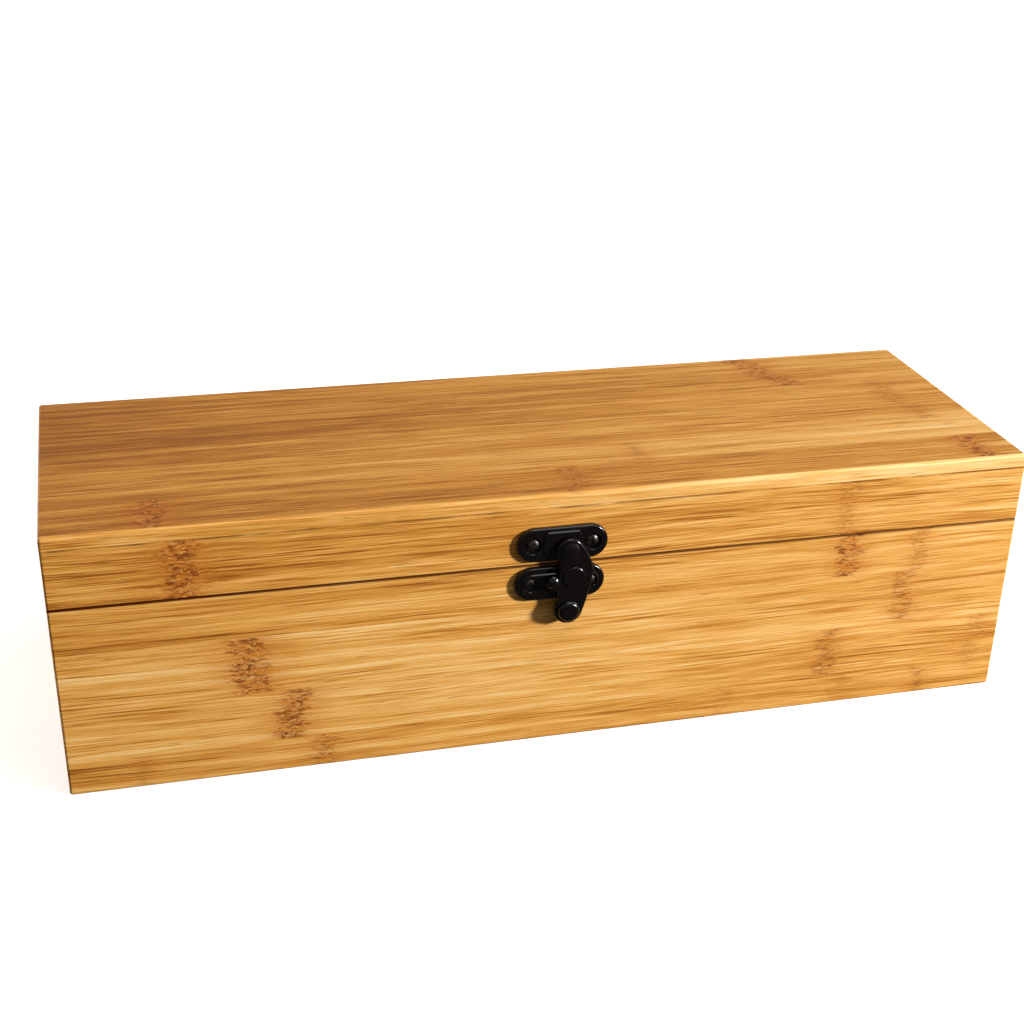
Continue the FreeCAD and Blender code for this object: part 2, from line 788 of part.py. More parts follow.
def latch_hook():
    """The swing hook, drawn round its rivet: a round head, an arm that bulges to the right, a
    throat that fits the stud's neck from the right with a lip under it, and a thumb knob. The arm
    carries a low round boss."""
    body = new_body("latch_hook")
    slant = size.head_radius * math.sin(math.radians(45))
    away = root(stud_across * stud_across + stud_down * stud_down)
    out_x = stud_across / away
    out_y = stud_down / away
    side_x = -out_y
    side_y = out_x

    def about_stud(out, side):
        """A point at distances from the stud, away from the rivet and square to that."""
        x = stud_across + out_x * out + side_x * side
        y = stud_down + out_y * out + side_y * side
        return (x, y)

    # the arm's inner edge leaves the throat on a tangent and runs up to the head
    rise_x = -slant - stud_across
    rise_y = -slant - stud_down
    rise_square = rise_x * rise_x + rise_y * rise_y
    share = throat * throat / rise_square
    aside = throat * root(rise_square - throat * throat) / rise_square
    throat_top = (
        stud_across + rise_x * share + rise_y * aside,
        stud_down + rise_y * share - rise_x * aside,
    )
    diagonal = throat * math.sin(math.radians(45))
    head_foot = (-slant, -slant)
    shoulder = (slant, slant)
    bulge = (size.bulge_side, -size.bulge_drop)
    knob_flank = round_knob(size.knob_flank_angle)
    knob_waist = round_knob(size.knob_waist_angle)
    knob_foot = round_knob(Size.of(-90))
    lip_heel = about_stud(throat + size.lip_depth, size.lip_step)
    lip_tip = about_stud(throat, ZERO)
    outline = new_sketch(body, "XY_Plane", hook_back)
    draw_outline(
        outline,
        [
            head_foot + (-slant, slant),
            bowed(shoulder, bulge, size.shoulder_bow),
            bowed(bulge, knob_flank, size.flank_bow),
            knob_flank + knob_foot,
            bowed(knob_waist, lip_heel, -size.waist_bow),
            bowed(lip_heel, lip_tip, size.lip_bow),
            lip_tip + about_stud(diagonal, diagonal),
            throat_top,
        ],
    )
    pad(body, outline, size.hook_sheet)
    corners = upright_at(head_foot, knob_waist, lip_heel, lip_tip)
    dress(body, "Fillet", corners, size.hook_corner_round)
    dress(body, "Fillet", at_height(hook_front), size.hook_round)
    boss = new_sketch(body, "XY_Plane", hook_front)
    draw_circle(boss, size.boss_side, -size.boss_drop, size.boss_radius)
    pad(body, boss, size.boss_lift)
    dress(body, "Fillet", at_height(hook_front + size.boss_lift), size.boss_round)
    button = new_sketch(body, "XY_Plane", hook_front)
    draw_circle(button, size.knob_side, -size.knob_drop, size.button_radius)
    pad(body, button, size.button_lift)
    dress(body, "Fillet", at_height(hook_front + size.button_lift), size.button_round)
    eye = new_sketch(body, "XY_Plane", hook_back)
    draw_circle(eye, ZERO, ZERO, size.rivet_radius + size.stem_play)
    cut(body, eye)
    place(body, pivot_across, -half_depth, seam_level + size.pivot_rise, UPRIGHT_TO_FRONT)


def latch():
    """Two plates, the hook on its rivet, and the stud that it closes on."""
    lid_latch_plate()
    base_latch_plate()
    latch_hook()
    headed_stem(
        "hook_rivet",
        pivot_across,
        seam_level + size.pivot_rise,
        size.rivet_radius,
        hook_front + size.hook_play,
        size.rivet_head_radius,
        size.rivet_head_height,
        size.rivet_dome,
    )
    headed_stem(
        "latch_stud",
        size.catch_plate_shift + size.stud_side,
        seam_level - size.stud_drop,
        size.neck_radius,
        hook_front + size.stud_play,
        size.stud_head_radius,
        size.stud_head_height,
        size.stud_dome,
    )
    hook_screw_spots = plate_screw_spots(size.hook_plate_shift, hook_plate_level)
    hook_plate_seat = size.plate_sheet - size.field_dish_depth
    catch_plate_seat = size.plate_sheet - size.bead_dish_depth
    screw_group("lid_latch_screws", pan_head_screw, hook_screw_spots, hook_plate_seat)
    screw_group("base_latch_screws", pan_head_screw, catch_screw_spots(), catch_plate_seat)


for side in SIDES:
    base_wall(side)
base_floor()
for side in SIDES:
    lid_rail(side)
lid_top_board()
hinges()
latch()
doc.recompute()

os.makedirs("parts", exist_ok=True)
for item in doc.Objects:
    if "Invalid" in item.State or "Error" in item.State:
        raise RuntimeError("%s failed to build: %s" % (item.Name, item.State))
for node in kept:
    if node.Shape.isNull() or not node.Shape.isValid():
        raise RuntimeError("%s has no valid shape" % node.Label)
for node in kept:
    node.Shape.exportStep("parts/%s.step" % node.Label)
    print(node.Label, len(node.Shape.Solids), round(node.Shape.Volume, 2))
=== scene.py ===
import math
import random
from functools import partial

import bmesh
import bpy
from bpy.props import FloatProperty, FloatVectorProperty, PointerProperty, StringProperty
from mathutils import Matrix, Vector


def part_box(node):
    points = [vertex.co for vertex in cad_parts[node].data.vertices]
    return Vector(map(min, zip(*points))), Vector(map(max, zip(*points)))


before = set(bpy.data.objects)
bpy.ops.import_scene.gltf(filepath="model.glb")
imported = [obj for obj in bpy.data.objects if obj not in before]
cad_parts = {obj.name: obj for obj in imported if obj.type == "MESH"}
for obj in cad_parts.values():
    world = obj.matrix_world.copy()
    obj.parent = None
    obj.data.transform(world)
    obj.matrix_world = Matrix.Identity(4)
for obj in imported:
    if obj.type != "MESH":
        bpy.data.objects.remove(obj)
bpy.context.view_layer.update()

bl_info = {
    "name": "Hinged bamboo box",
    "version": (1, 0, 0),
    "blender": (4, 5, 0),
    "location": "3D View > Sidebar > Bamboo Box",
    "description": "Finishes a hinged bamboo box with a swing hook latch, and its studio",
    "category": "Object",
}

MM = 0.001


def shade(text):
    """An sRGB hex colour as linear red, green, blue and alpha."""
    channels = [int(text[i : i + 2], 16) / 255 for i in (1, 3, 5)]
    linear = [c / 12.92 if c <= 0.04045 else ((c + 0.055) / 1.055) ** 2.4 for c in channels]
    return (*linear, 1.0)


def add(tree, kind, feeds=(), **settings):
    """Adds a shader node with its settings. Feeds are a list in the order of the inputs, or a
    dictionary by input. Each is a value, an output, or a node, which stands for its first output."""
    made = tree.nodes.new("ShaderNode" + kind)
    for name, value in settings.items():
        setattr(made, name, value)
    for key, value in feeds.items() if isinstance(feeds, dict) else enumerate(feeds):
        if isinstance(value, bpy.types.Node):
            value = next(output for output in value.outputs if output.enabled)
        if isinstance(value, bpy.types.NodeSocket):
            tree.links.new(value, made.inputs[key])
        else:
            made.inputs[key].default_value = value
    return made


def new_material(name):
    """An empty material and its node tree."""
    material = bpy.data.materials.new(name)
    material.use_nodes = True
    material.node_tree.nodes.clear()
    return material, material.node_tree


def fill_ramp(ramp, stops, interpolation="LINEAR"):
    """Sets a colour ramp's stops, each a place from 0 to 1 and a colour."""
    ramp.interpolation = interpolation
    while len(ramp.elements) > 1:
        ramp.elements.remove(ramp.elements[-1])
    for number, (place, colour) in enumerate(stops):
        stop = ramp.elements[0] if number == 0 else ramp.elements.new(place)
        stop.position = place
        stop.color = colour


def dress(names, material):
    """Gives CAD nodes a finish in place of their plain one."""
    for name in names:
        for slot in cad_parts[name].material_slots:
            slot.material = material


# Settings


class BambooSettings(bpy.types.PropertyGroup):
    """Colours, varnish and strips of the boards"""

    pale: StringProperty(
        name="Pale fibres", description="Palest stretches of a strip", default="#f3ca86"
    )
    light: StringProperty(
        name="Light fibres", description="Light stretches of a strip", default="#e8af60"
    )
    middle: StringProperty(name="Middle fibres", description="Most of a strip", default="#d69742")
    brown: StringProperty(
        name="Brown fibres", description="Dark bands of a strip", default="#bb782a"
    )
    dark: StringProperty(
        name="Dark fibres", description="Darkest bands of a strip", default="#905316"
    )
    dash: StringProperty(name="Dashes", description="Short dark vessel dashes", default="#6b3a10")
    knuckle: StringProperty(
        name="Knuckle", description="Crinkles in a knuckle", default="#74340b"
    )
    halo: StringProperty(
        name="Knuckle halo", description="Stain round a knuckle", default="#b86418"
    )
    # Painted shade in the gap between the lid and the base, and the dark line of the joint under the
    # top board
    gap_shade_and_joint: StringProperty(
        name="Seam", description="Varnish that has run into a gap", default="#451404"
    )
    varnish: FloatProperty(
        name="Varnish roughness",
        description="How dull the varnish is",
        default=0.42,
        min=0.0,
        max=1.0,
        subtype="FACTOR",
    )
    shine: FloatProperty(
        name="Varnish shine",
        description="How much the varnish reflects",
        default=0.38,
        min=0.0,
        max=1.0,
        subtype="FACTOR",
    )
    strip_width: FloatProperty(
        name="Strip width", description="Usual width of a strip", default=0.020, unit="LENGTH"
    )


class MetalSettings(bpy.types.PropertyGroup):
    """Colours and surfaces of the latch, the hinges and the screws"""

    enamel: StringProperty(
        name="Enamel", description="Black of the latch and hinges", default="#0b0706"
    )
    gloss: FloatProperty(
        name="Enamel roughness",
        description="How dull the enamel is",
        default=0.2,
        min=0.0,
        max=1.0,
        subtype="FACTOR",
    )
    oxide: StringProperty(name="Oxide", description="Black of the screws", default="#3d3936")
    worn: StringProperty(
        name="Worn oxide", description="Lighter patches of the screws", default="#6b645e"
    )
    patch: FloatProperty(
        name="Patches", description="Width of the oxide's patches", default=0.0009, unit="LENGTH"
    )
    orange_peel: FloatProperty(
        name="Orange peel", description="Width of the enamel's waves", default=0.0011, unit="LENGTH"
    )


class StageSettings(bpy.types.PropertyGroup):
    """Camera, lights and floor"""

    lens: FloatProperty(
        name="Lens", description="Focal length in mm", default=57.27, min=10.0, unit="CAMERA"
    )
    eye: FloatVectorProperty(
        name="Camera place",
        description="Where the photograph was taken from",
        default=(-0.14809, -0.55404, 0.33129),
        subtype="TRANSLATION",
        unit="LENGTH",
    )
    key_power: FloatProperty(
        name="Key light", description="Power of the key light", default=62.0, unit="POWER"
    )
    fill_power: FloatProperty(
        name="Top light", description="Power of the overhead light", default=6.0, unit="POWER"
    )
    back_power: FloatProperty(
        name="Back light", description="Power of the light behind", default=40.0, unit="POWER"
    )
    floor: FloatProperty(
        name="Floor", description="How far the flat floor reaches", default=3.0, unit="LENGTH"
    )
    ground: FloatProperty(
        name="Ground light", description="Strength of the light from below", default=0.06, min=0.0
    )
    room: FloatProperty(
        name="Room light", description="Strength of the light from above", default=0.22, min=0.0
    )


class BoxSettings(bpy.types.PropertyGroup):
    """All that a user can change"""

    bamboo: PointerProperty(name="Bamboo", description="The boards' finish", type=BambooSettings)
    metal: PointerProperty(name="Metal", description="The metal's finish", type=MetalSettings)
    stage: PointerProperty(name="Stage", description="The studio", type=StageSettings)


# Bamboo boards

# Which way a board runs: the axes along the grain, across the strips and into the board.
ALONG_FRONT = "XZY"
ALONG_SIDE = "YZX"
ALONG_TOP = "XYZ"

# Dark edges, written as Board describes. The gap between the lid and the base is painted shade: a
# dark line that thins out to the right. The joint under the top board is a thin dark line, mostly
# closed.
SEAM_BASE = (72.9, 0.8, 1.0, 0.75, 0.3)
SEAM_LID = (73.1, 0.45, 1.0, 0.5, 0.3)
TOP_JOINT = (94.4, 0.6, 0.7, 0.5, 1.0)

# The boards that the photograph doesn't show take their strips and knuckles from these ranges.
# Lengths are in mm.
CHANCE_TONE = (0.38, 0.62)
CHANCE_WIDTH = (0.85, 1.15)    # of the usual strip width
FIRST_KNUCKLE = (-60, 150)     # from the board's low end
NEXT_KNUCKLE = (150, 240)      # from the one before
KNUCKLE_STRENGTH = (0.35, 1.0)
KNUCKLE_HALF = (3, 5)
KNUCKLE_SLANT = (-0.4, 0.4)

# How a knuckle comes and goes along the grain: places in half widths, each with the share of its
# crinkled core and of the stain round it.
KNUCKLE_PROFILE = (
    (-3.4, 0, 0),
    (-1.25, 0, 0.5),
    (-0.7, 1, 1),
    (0.7, 1, 1),
    (1.25, 0, 0.5),
    (3.4, 0, 0),
)
PAST_END = 20    # a knuckle may lie this far past a board's end, in mm

# Fibres as (length, width, detail, roughness, distortion), the first two in mm. Real bundles are
# about 0.2 mm wide, and the finest here are drawn at twice that so that they show.
FIBRES = {
    "bands": (170, 4.2, 2, 0.55, 0.0),
    "streaks": (55, 0.9, 3, 0.66, 0.0),
    "fine": (26, 0.42, 2, 0.6, 0.0),
    "lines": (40, 0.65, 1, 0.55, 0.0),
    "crowds of lines": (130, 7, 1, 0.55, 0.0),
    "dashes": (10, 0.5, 1, 0.55, 0.0),
    "crowds of dashes": (45, 5, 1, 0.55, 0.0),
    "crinkle": (3.8, 0.7, 2, 0.6, 0.3),
    "specks_and_glints": (2.2, 0.8, 1, 0.5, 0.4),
    "drift": (120, 22, 1, 0.55, 0.0),
    "swirl": (3.2, 2.0, 2, 0.55, 0.0),
    "ragged knuckle": (16, 0.9, 1, 0.55, 0.0),
    "wavy knuckle": (60, 6, 1, 0.55, 0.0),
    "broken gap": (16, 60, 2, 0.55, 0.0),
}
# From which value of its noise a kind of fibre shows, and from which it shows in full.
SHOWS = {
    "lines": (0.55, 0.64),
    "crowds of lines": (0.38, 0.60),
    "dashes": (0.64, 0.72),
    "crowds of dashes": (0.50, 0.62),
    "crinkle": (0.49, 0.56),
    "specks_and_glints": (0.57, 0.63),
}
# How strongly the noises change the tone, the widest fibres first.
GRAIN = (("bands", 0.95), ("streaks", 0.85), ("fine", 1.25))
LINE_TONE = -0.36
# How far fibres and knuckles stray, in mm.
DRIFT, SWIRL, RAGGED, WAVY = 4.0, 3.6, 11.0, 7.0
CULM = 900.0              # how far along the culm the strips of a board lie apart, in mm
NEAR_FACE = (1.3, 0.9)    # a gap is dark from this depth under the face, and in full from that


class Board:
    """How one board is glued up, in mm. Strips are (lower edge, tone at the low end, tone at the
    high end), from the lowest up. Knuckles are (strip, place along, strength, half width, slant).
    Lines are dark edges: (place across, half width, strength at the low end, at the high end, how
    broken). Contrast is how strongly the grain shows."""

    def __init__(self, node, runs, strips, knuckles, lines=(), contrast=1.0):
        self.node = node
        self.runs = runs
        self.strips = strips
        self.knuckles = knuckles
        self.lines = lines
        self.contrast = contrast


def extent(node, axis):
    """The lowest and highest place of a CAD node on an axis, in mm."""
    low, high = (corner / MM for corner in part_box(node))
    number = "XYZ".index(axis)
    return low[number], high[number]


def seen_boards():
    """The boards that the photograph shows, as it shows them."""
    base = Board(
        "base_front_wall",
        ALONG_FRONT,
        [(0, 0.54, 0.50), (13.1, 0.71, 0.57), (33.3, 0.66, 0.62), (55.5, 0.42, 0.60)],
        [
            (3, 108.9, 1.0, 3.6, 0.0),
            (3, 138.2, 0.5, 3.0, 0.1),
            (2, -113.1, 1.0, 5.6, -0.1),
            (2, 133.6, 0.55, 3.8, -0.1),
            (1, -99.6, 0.95, 4.5, 0.1),
            (1, 104.6, 0.6, 4.5, 0.1),
            (1, 167.3, 0.35, 4.0, 0.1),
            (0, -152.1, 0.3, 3.0, 0.0),
            (0, -88.6, 0.6, 4.5, 0.0),
            (0, 63.4, 0.2, 3.0, 0.0),
            (0, 111.9, 0.25, 3.0, 0.0),
            (0, 144.8, 0.45, 3.5, 0.0),
        ],
        [SEAM_BASE],
        contrast=0.9,
    )
    rail = Board(
        "lid_front_rail",
        ALONG_FRONT,
        [(73.1, 0.46, 0.55)],
        [(0, -133.6, 1.0, 5.0, 0.0), (0, 106.1, 0.38, 3.5, 0.0)],
        [SEAM_LID, TOP_JOINT],
    )
    top = Board(
        "lid_top_board",
        ALONG_TOP,
        # Along the top, the tones rise from the left end to the right: partly the wood's own tone,
        # partly painted shade where the light falls off towards the left.
        [
            (-60, 0.50, 0.86),
            (-58.8, 0.27, 0.52),
            (-37.0, 0.30, 0.72),
            (-19.6, 0.30, 0.56),
            (-3.4, 0.20, 0.50),
            (25.1, 0.16, 0.54),
            (44, 0.18, 0.62),
        ],
        [
            (1, -141.8, 1.0, 4.2, 0.0),
            (1, 3.8, 0.6, 4.0, 0.0),
            (1, 161.5, 1.0, 4.0, 0.63),
            (2, 34.0, 0.35, 3.0, 0.0),
            (3, 156.5, 0.4, 4.0, 0.0),
            (4, 152.8, 0.35, 4.0, 0.0),
            (5, 113.4, 0.85, 5.0, -0.55),
            (6, 107.0, 0.85, 5.0, -0.35),
        ],
        contrast=0.8,
    )
    return [base, rail, top]


def chance_board(node, runs, lines=()):
    """A board that the photograph doesn't show: strips and knuckles drawn by a seeded hand."""
    draw = random.Random(node)
    usual = bpy.context.scene.bamboo_box.bamboo.strip_width / MM
    along_low, along_high = extent(node, runs[0])
    edge, across_high = extent(node, runs[1])
    strips, knuckles = [], []
    while edge < across_high - usual / 3:
        strips.append((edge, draw.uniform(*CHANCE_TONE), draw.uniform(*CHANCE_TONE)))
        place = along_low + draw.uniform(*FIRST_KNUCKLE)
        while place < along_high:
            looks = [draw.uniform(*span) for span in (KNUCKLE_STRENGTH, KNUCKLE_HALF, KNUCKLE_SLANT)]
            knuckles.append((len(strips) - 1, place, *looks))
            place += draw.uniform(*NEXT_KNUCKLE)
        edge += usual * draw.uniform(*CHANCE_WIDTH)
    return Board(node, runs, strips, knuckles, lines, contrast=0.85)


def fibres(tree, place, kind):
    """A noise that runs in streaks of a kind of fibre's length and width."""
    length, width, detail, roughness, distortion = FIBRES[kind]
    scale = (1 / length, 1 / width, 1 / width)
    feeds = {
        "Vector": add(tree, "Mapping", {"Vector": place, "Scale": scale}),
        "Scale": 1.0,
        "Detail": detail,
        "Roughness": roughness,
        "Distortion": distortion,
    }
    return add(tree, "TexNoise", feeds)


def sway(tree, value, amount, base):
    """Moves a base value to and fro by a noise."""
    centred = add(tree, "Math", [value, 0.5], operation="SUBTRACT")
    return add(tree, "Math", [centred, amount, base], operation="MULTIPLY_ADD")


def knuckle_masks(board, tree, across, along):
    """Where the crinkled cores of a board's knuckles lie, and the stain round them."""
    node = partial(add, tree)
    along_low, along_high = extent(board.node, board.runs[0])
    _, across_high = extent(board.node, board.runs[1])
    span = along_high - along_low + 2 * PAST_END
    core, halo = 0.0, 0.0
    for number, (edge, _, _) in enumerate(board.strips):
        own = sorted(knuckle for knuckle in board.knuckles if knuckle[0] == number)
        if not own:
            continue
        last = number == len(board.strips) - 1
        upper = across_high + 1 if last else board.strips[number + 1][0]
        stops = [(0.0, (0, 0, 0, 1))]
        for _, place, strength, half, _ in own:
            middle = (place - along_low + PAST_END) / span
            reach = half / span
            for step, inner, outer in KNUCKLE_PROFILE:
                value = (strength * inner, strength * outer, 0, 1)
                stops.append((min(max(middle + reach * step, 0.0), 1.0), value))
        from_middle = node("Math", [across, (edge + upper) / 2], operation="SUBTRACT")
        slant = own[0][4]
        slanted = node("Math", [from_middle, -slant, along], operation="MULTIPLY_ADD")
        share = node("MapRange", [slanted, along_low - PAST_END, along_high + PAST_END])
        peaks = node("ValToRGB", [share])
        fill_ramp(peaks.color_ramp, stops)
        layers = node("SeparateColor", [peaks]).outputs
        above_edge = node("MapRange", [across, edge - 0.1, edge + 0.2])
        below_edge = node("MapRange", [across, upper + 0.1, upper - 0.2])
        inside = node("Math", [above_edge, below_edge], operation="MULTIPLY")
        core = node("Math", [layers[0], inside, core], operation="MULTIPLY_ADD")
        halo = node("Math", [layers[1], inside, halo], operation="MULTIPLY_ADD")
    return core, halo


def bamboo(board):
    """Flat-pressed bamboo: strips glued edge to edge, sanded and given a clear satin varnish.
    The eye sees thin straight fibres in soft bands, short dark vessel dashes, a small change of
    tone at each glue line, crinkled brown knuckles, and darker ends."""
    setting = bpy.context.scene.bamboo_box.bamboo
    material, tree = new_material("varnished_bamboo." + board.node)
    node = partial(add, tree)
    along_low, along_high = extent(board.node, board.runs[0])
    across_low, across_high = extent(board.node, board.runs[1])
    outer_face = max(extent(board.node, board.runs[2]), key=abs)

    where = node("TexCoord")
    in_mm = node("VectorMath", {0: where.outputs["Object"], "Scale": 1 / MM}, operation="SCALE")
    split = node("SeparateXYZ", [in_mm])
    along, across, into = (split.outputs["XYZ".index(axis)] for axis in board.runs)
    along_share = node("MapRange", [along, along_low, along_high])

    # each strip has its own tones, and its own stretch of the culm
    draw = random.Random("strips of " + board.node)
    stops = []
    for edge, low_tone, high_tone in board.strips:
        place = (edge - across_low) / (across_high - across_low)
        stops.append((max(place, 0.0), (low_tone, high_tone, draw.random(), 1.0)))
    strip = node("ValToRGB", [node("MapRange", [across, across_low, across_high])])
    fill_ramp(strip.color_ramp, stops, "CONSTANT")
    low_tone, high_tone, stretch = node("SeparateColor", [strip]).outputs
    change = node("Math", [high_tone, low_tone], operation="SUBTRACT")
    tone = node("Math", [change, along_share, low_tone], operation="MULTIPLY_ADD")
    shifted = node("Math", [stretch, CULM, along], operation="MULTIPLY_ADD")
    plain_place = node("CombineXYZ", [shifted, across, into])

    # the knuckles of each strip, which end in ragged fibres
    ragged = sway(tree, fibres(tree, plain_place, "ragged knuckle"), RAGGED, along)
    along_knuckle = sway(tree, fibres(tree, plain_place, "wavy knuckle"), WAVY, ragged)
    core, halo = knuckle_masks(board, tree, across, along_knuckle)

    # fibres run nearly straight, and swirl in a knuckle
    drifted = sway(tree, fibres(tree, plain_place, "drift"), DRIFT, across)
    swirl = node("Math", [fibres(tree, plain_place, "swirl"), 0.5], operation="SUBTRACT")
    swirl = node("Math", [swirl, SWIRL], operation="MULTIPLY")
    turned = node("Math", [swirl, halo, drifted], operation="MULTIPLY_ADD")
    place = node("CombineXYZ", [shifted, turned, into])

    # the grain, and the marks that show on top of it
    noises = {kind: fibres(tree, place, kind) for kind, _ in GRAIN}
    marks = {}
    for kind, span in SHOWS.items():
        marks[kind] = node("MapRange", [fibres(tree, place, kind), *span])
    lines, dashes, crinkle, specks_and_glints = (
        node("Math", [marks[kind], where_shown], operation="MULTIPLY")
        for kind, where_shown in (
            ("lines", marks["crowds of lines"]),
            ("dashes", marks["crowds of dashes"]),
            ("crinkle", core),
            ("specks_and_glints", core),
        )
    )

    depth = tone
    for kind, strength in GRAIN:
        depth = sway(tree, noises[kind], strength * board.contrast, depth)
    depth = node("Math", [lines, LINE_TONE * board.contrast, depth], operation="MULTIPLY_ADD")
    body = node("ValToRGB", [depth])
    shades = (setting.dark, setting.brown, setting.middle, setting.light, setting.pale)
    stops = [(0.05 + 0.225 * number, shade(text)) for number, text in enumerate(shades)]
    fill_ramp(body.color_ramp, stops)

    # what lies over the grain, from the lowest up, each with how much of it shows
    layers = []
    for amount, share, text in (
        (dashes, 0.6, setting.dash),
        (halo, 0.62, setting.halo),
        (crinkle, 0.85, setting.knuckle),
        # pale specks in a knuckle's core: partly pale fibres, partly painted highlights on the
        # crinkles
        (specks_and_glints, 0.4, setting.light),
    ):
        layers.append((node("Math", [amount, share], operation="MULTIPLY"), text))

    # gaps and joints, dark and dull within about a millimetre of the outer face: painted shade in
    # the gap between the lid and the base, and the dark line of the top board's joint
    from_face = node("Math", [into, outer_face], operation="SUBTRACT")
    from_face = node("Math", [from_face], operation="ABSOLUTE")
    near_face = node("MapRange", [from_face, *NEAR_FACE])
    broken_gap = fibres(tree, plain_place, "broken gap")
    gaps = node("Math", [broken_gap, near_face], operation="MULTIPLY")
    shine = setting.shine
    for place_across, half, low_end, high_end, broken in board.lines:
        beside = node("Math", [across, place_across], operation="SUBTRACT")
        beside = node("Math", [beside], operation="ABSOLUTE")
        dark_line = node("MapRange", [beside, half, half * 0.45])
        strength = node("MapRange", [along_share, 0.0, 1.0, low_end, high_end])
        kept = node("MapRange", [gaps, 0.36 * broken, 0.36 * broken + 0.2])
        amount = node("Math", [dark_line, strength], operation="MULTIPLY")
        amount = node("Math", [amount, kept], operation="MULTIPLY")
        layers.append((amount, setting.gap_shade_and_joint))
        shine = node("Math", [amount, -setting.shine, shine], operation="MULTIPLY_ADD")
    if board.lines:
        shine = node("Math", [shine, 0.0], operation="MAXIMUM")

    # the ends of the board drink in the varnish
    facing = node("SeparateXYZ", [where.outputs["Normal"]]).outputs["XYZ".index(board.runs[0])]
    end_grain = node("MapRange", [node("Math", [facing], operation="ABSOLUTE"), 0.65, 0.9])
    end_grain = node("Math", [end_grain, 0.4], operation="MULTIPLY")
    layers.append((end_grain, setting.brown))

    colour = body
    for amount, text in layers:
        feeds = {"Factor": amount, "A": colour, "B": shade(text)}
        colour = node("Mix", feeds, data_type="RGBA")

    height = noises["streaks"]
    for sunk, by in ((dashes, -0.8), (lines, -0.3), (crinkle, -0.9)):
        height = node("Math", [sunk, by, height], operation="MULTIPLY_ADD")
    relief = node("Bump", {"Height": height, "Strength": 0.3, "Distance": 0.12 * MM})
    feeds = {
        "Base Color": colour,
        "Roughness": sway(tree, noises["streaks"], 0.25, setting.varnish),
        "Normal": relief,
        "IOR": 1.5,
        "Specular IOR Level": shine,
    }
    node("OutputMaterial", [node("BsdfPrincipled", feeds)])
    return material


class BAMBOO_OT_boards(bpy.types.Operator):
    """Finish the boards of the base and the lid in varnished bamboo"""

    bl_idname = "bamboo_box.boards"
    bl_label = "Finish boards"

    def execute(self, context):
        boards = seen_boards()
        sets = (("base", "wall", [SEAM_BASE]), ("lid", "rail", [SEAM_LID, TOP_JOINT]))
        for part, shape, lines in sets:
            for side, runs in (("back", ALONG_FRONT), ("left", ALONG_SIDE), ("right", ALONG_SIDE)):
                boards.append(chance_board(f"{part}_{side}_{shape}", runs, lines))
        boards.append(chance_board("base_floor", ALONG_TOP))
        for board in boards:
            dress([board.node], bamboo(board))
        return {"FINISHED"}


# Metal


def black_enamel():
    """Cast zinc dipped in black enamel: a deep gloss black with a slight orange peel, which breaks
    up the highlights on rounded edges."""
    setting = bpy.context.scene.bamboo_box.metal
    material, tree = new_material("black_enamelled_zinc")
    where = add(tree, "TexCoord").outputs["Object"]
    feeds = {"Vector": where, "Scale": 1 / setting.orange_peel, "Detail": 2.0}
    waves = add(tree, "TexNoise", feeds)
    relief = add(tree, "Bump", {"Height": waves, "Strength": 0.5, "Distance": 0.14 * MM})
    feeds = {
        "Base Color": shade(setting.enamel),
        "Roughness": setting.gloss,
        "Normal": relief,
    }
    add(tree, "OutputMaterial", [add(tree, "BsdfPrincipled", feeds)])
    return material


def black_oxide():
    """Turned steel screws blackened in hot oxide: a dark metal sheen, patchy where wear has
    lightened it, which tells the heads from the enamel round them."""
    setting = bpy.context.scene.bamboo_box.metal
    material, tree = new_material("black_oxide_steel")
    where = add(tree, "TexCoord").outputs["Object"]
    patches = add(tree, "TexNoise", {"Vector": where, "Scale": 1 / setting.patch, "Detail": 3.0})
    tint = add(tree, "ValToRGB", [patches])
    fill_ramp(tint.color_ramp, [(0.35, shade(setting.oxide)), (0.65, shade(setting.worn))])
    feeds = {
        "Base Color": tint,
        "Roughness": add(tree, "MapRange", [patches, 0.3, 0.7, 0.24, 0.4]),
        "Metallic": 1.0,
    }
    add(tree, "OutputMaterial", [add(tree, "BsdfPrincipled", feeds)])
    return material


class BAMBOO_OT_metal(bpy.types.Operator):
    """Finish the latch, the hinges and their screws in black enamel and black oxide"""

    bl_idname = "bamboo_box.metal"
    bl_label = "Finish metal"

    def execute(self, context):
        wood = ("wall", "rail", "floor", "board")
        metal = [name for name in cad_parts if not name.endswith(wood)]
        screws = [name for name in metal if name.endswith("screws")]
        dress(metal, black_enamel())
        dress(screws, black_oxide())
        return {"FINISHED"}


# Stage, in metres

AIM = (0, 0, 0.06)
# Lights are (name, place, size, the setting that holds the power).
LIGHTS = (
    ("key", (1.52, -1.02, 0.56), 0.2, "key_power"),
    ("overhead", (0.3, -0.3, 1.3), 0.9, "fill_power"),
    ("behind", (-1.6, 1.0, 0.32), 0.8, "back_power"),
)
RISE = 3.0                     # radius of the curve that turns the floor up into the backdrop
RISE_STEPS = 10
BACKDROP = 12.0                # how high the backdrop stands
SWEEP_SIDES = 96
GLOW = (0.5, 1.8, 0.5, 1.0)    # a near and a far distance, and the floor's glow at each
BRIGHT_FROM = 0.35             # how far up from the horizon the room reaches its full light

# The camera was solved from the box's straight edges. The shift stands for the picture's crop.
CAMERA_RIGHT = Vector((0.96352969, -0.265789, 0.03109254))
CAMERA_DOWN = Vector((-0.09775047, -0.45773851, -0.88369695))
CAMERA_AHEAD = Vector((0.24910918, 0.84842894, -0.46702565))
CAMERA_SHIFT = (-0.0459, 0.0825)
SENSOR_WIDTH = 36.0    # in mm


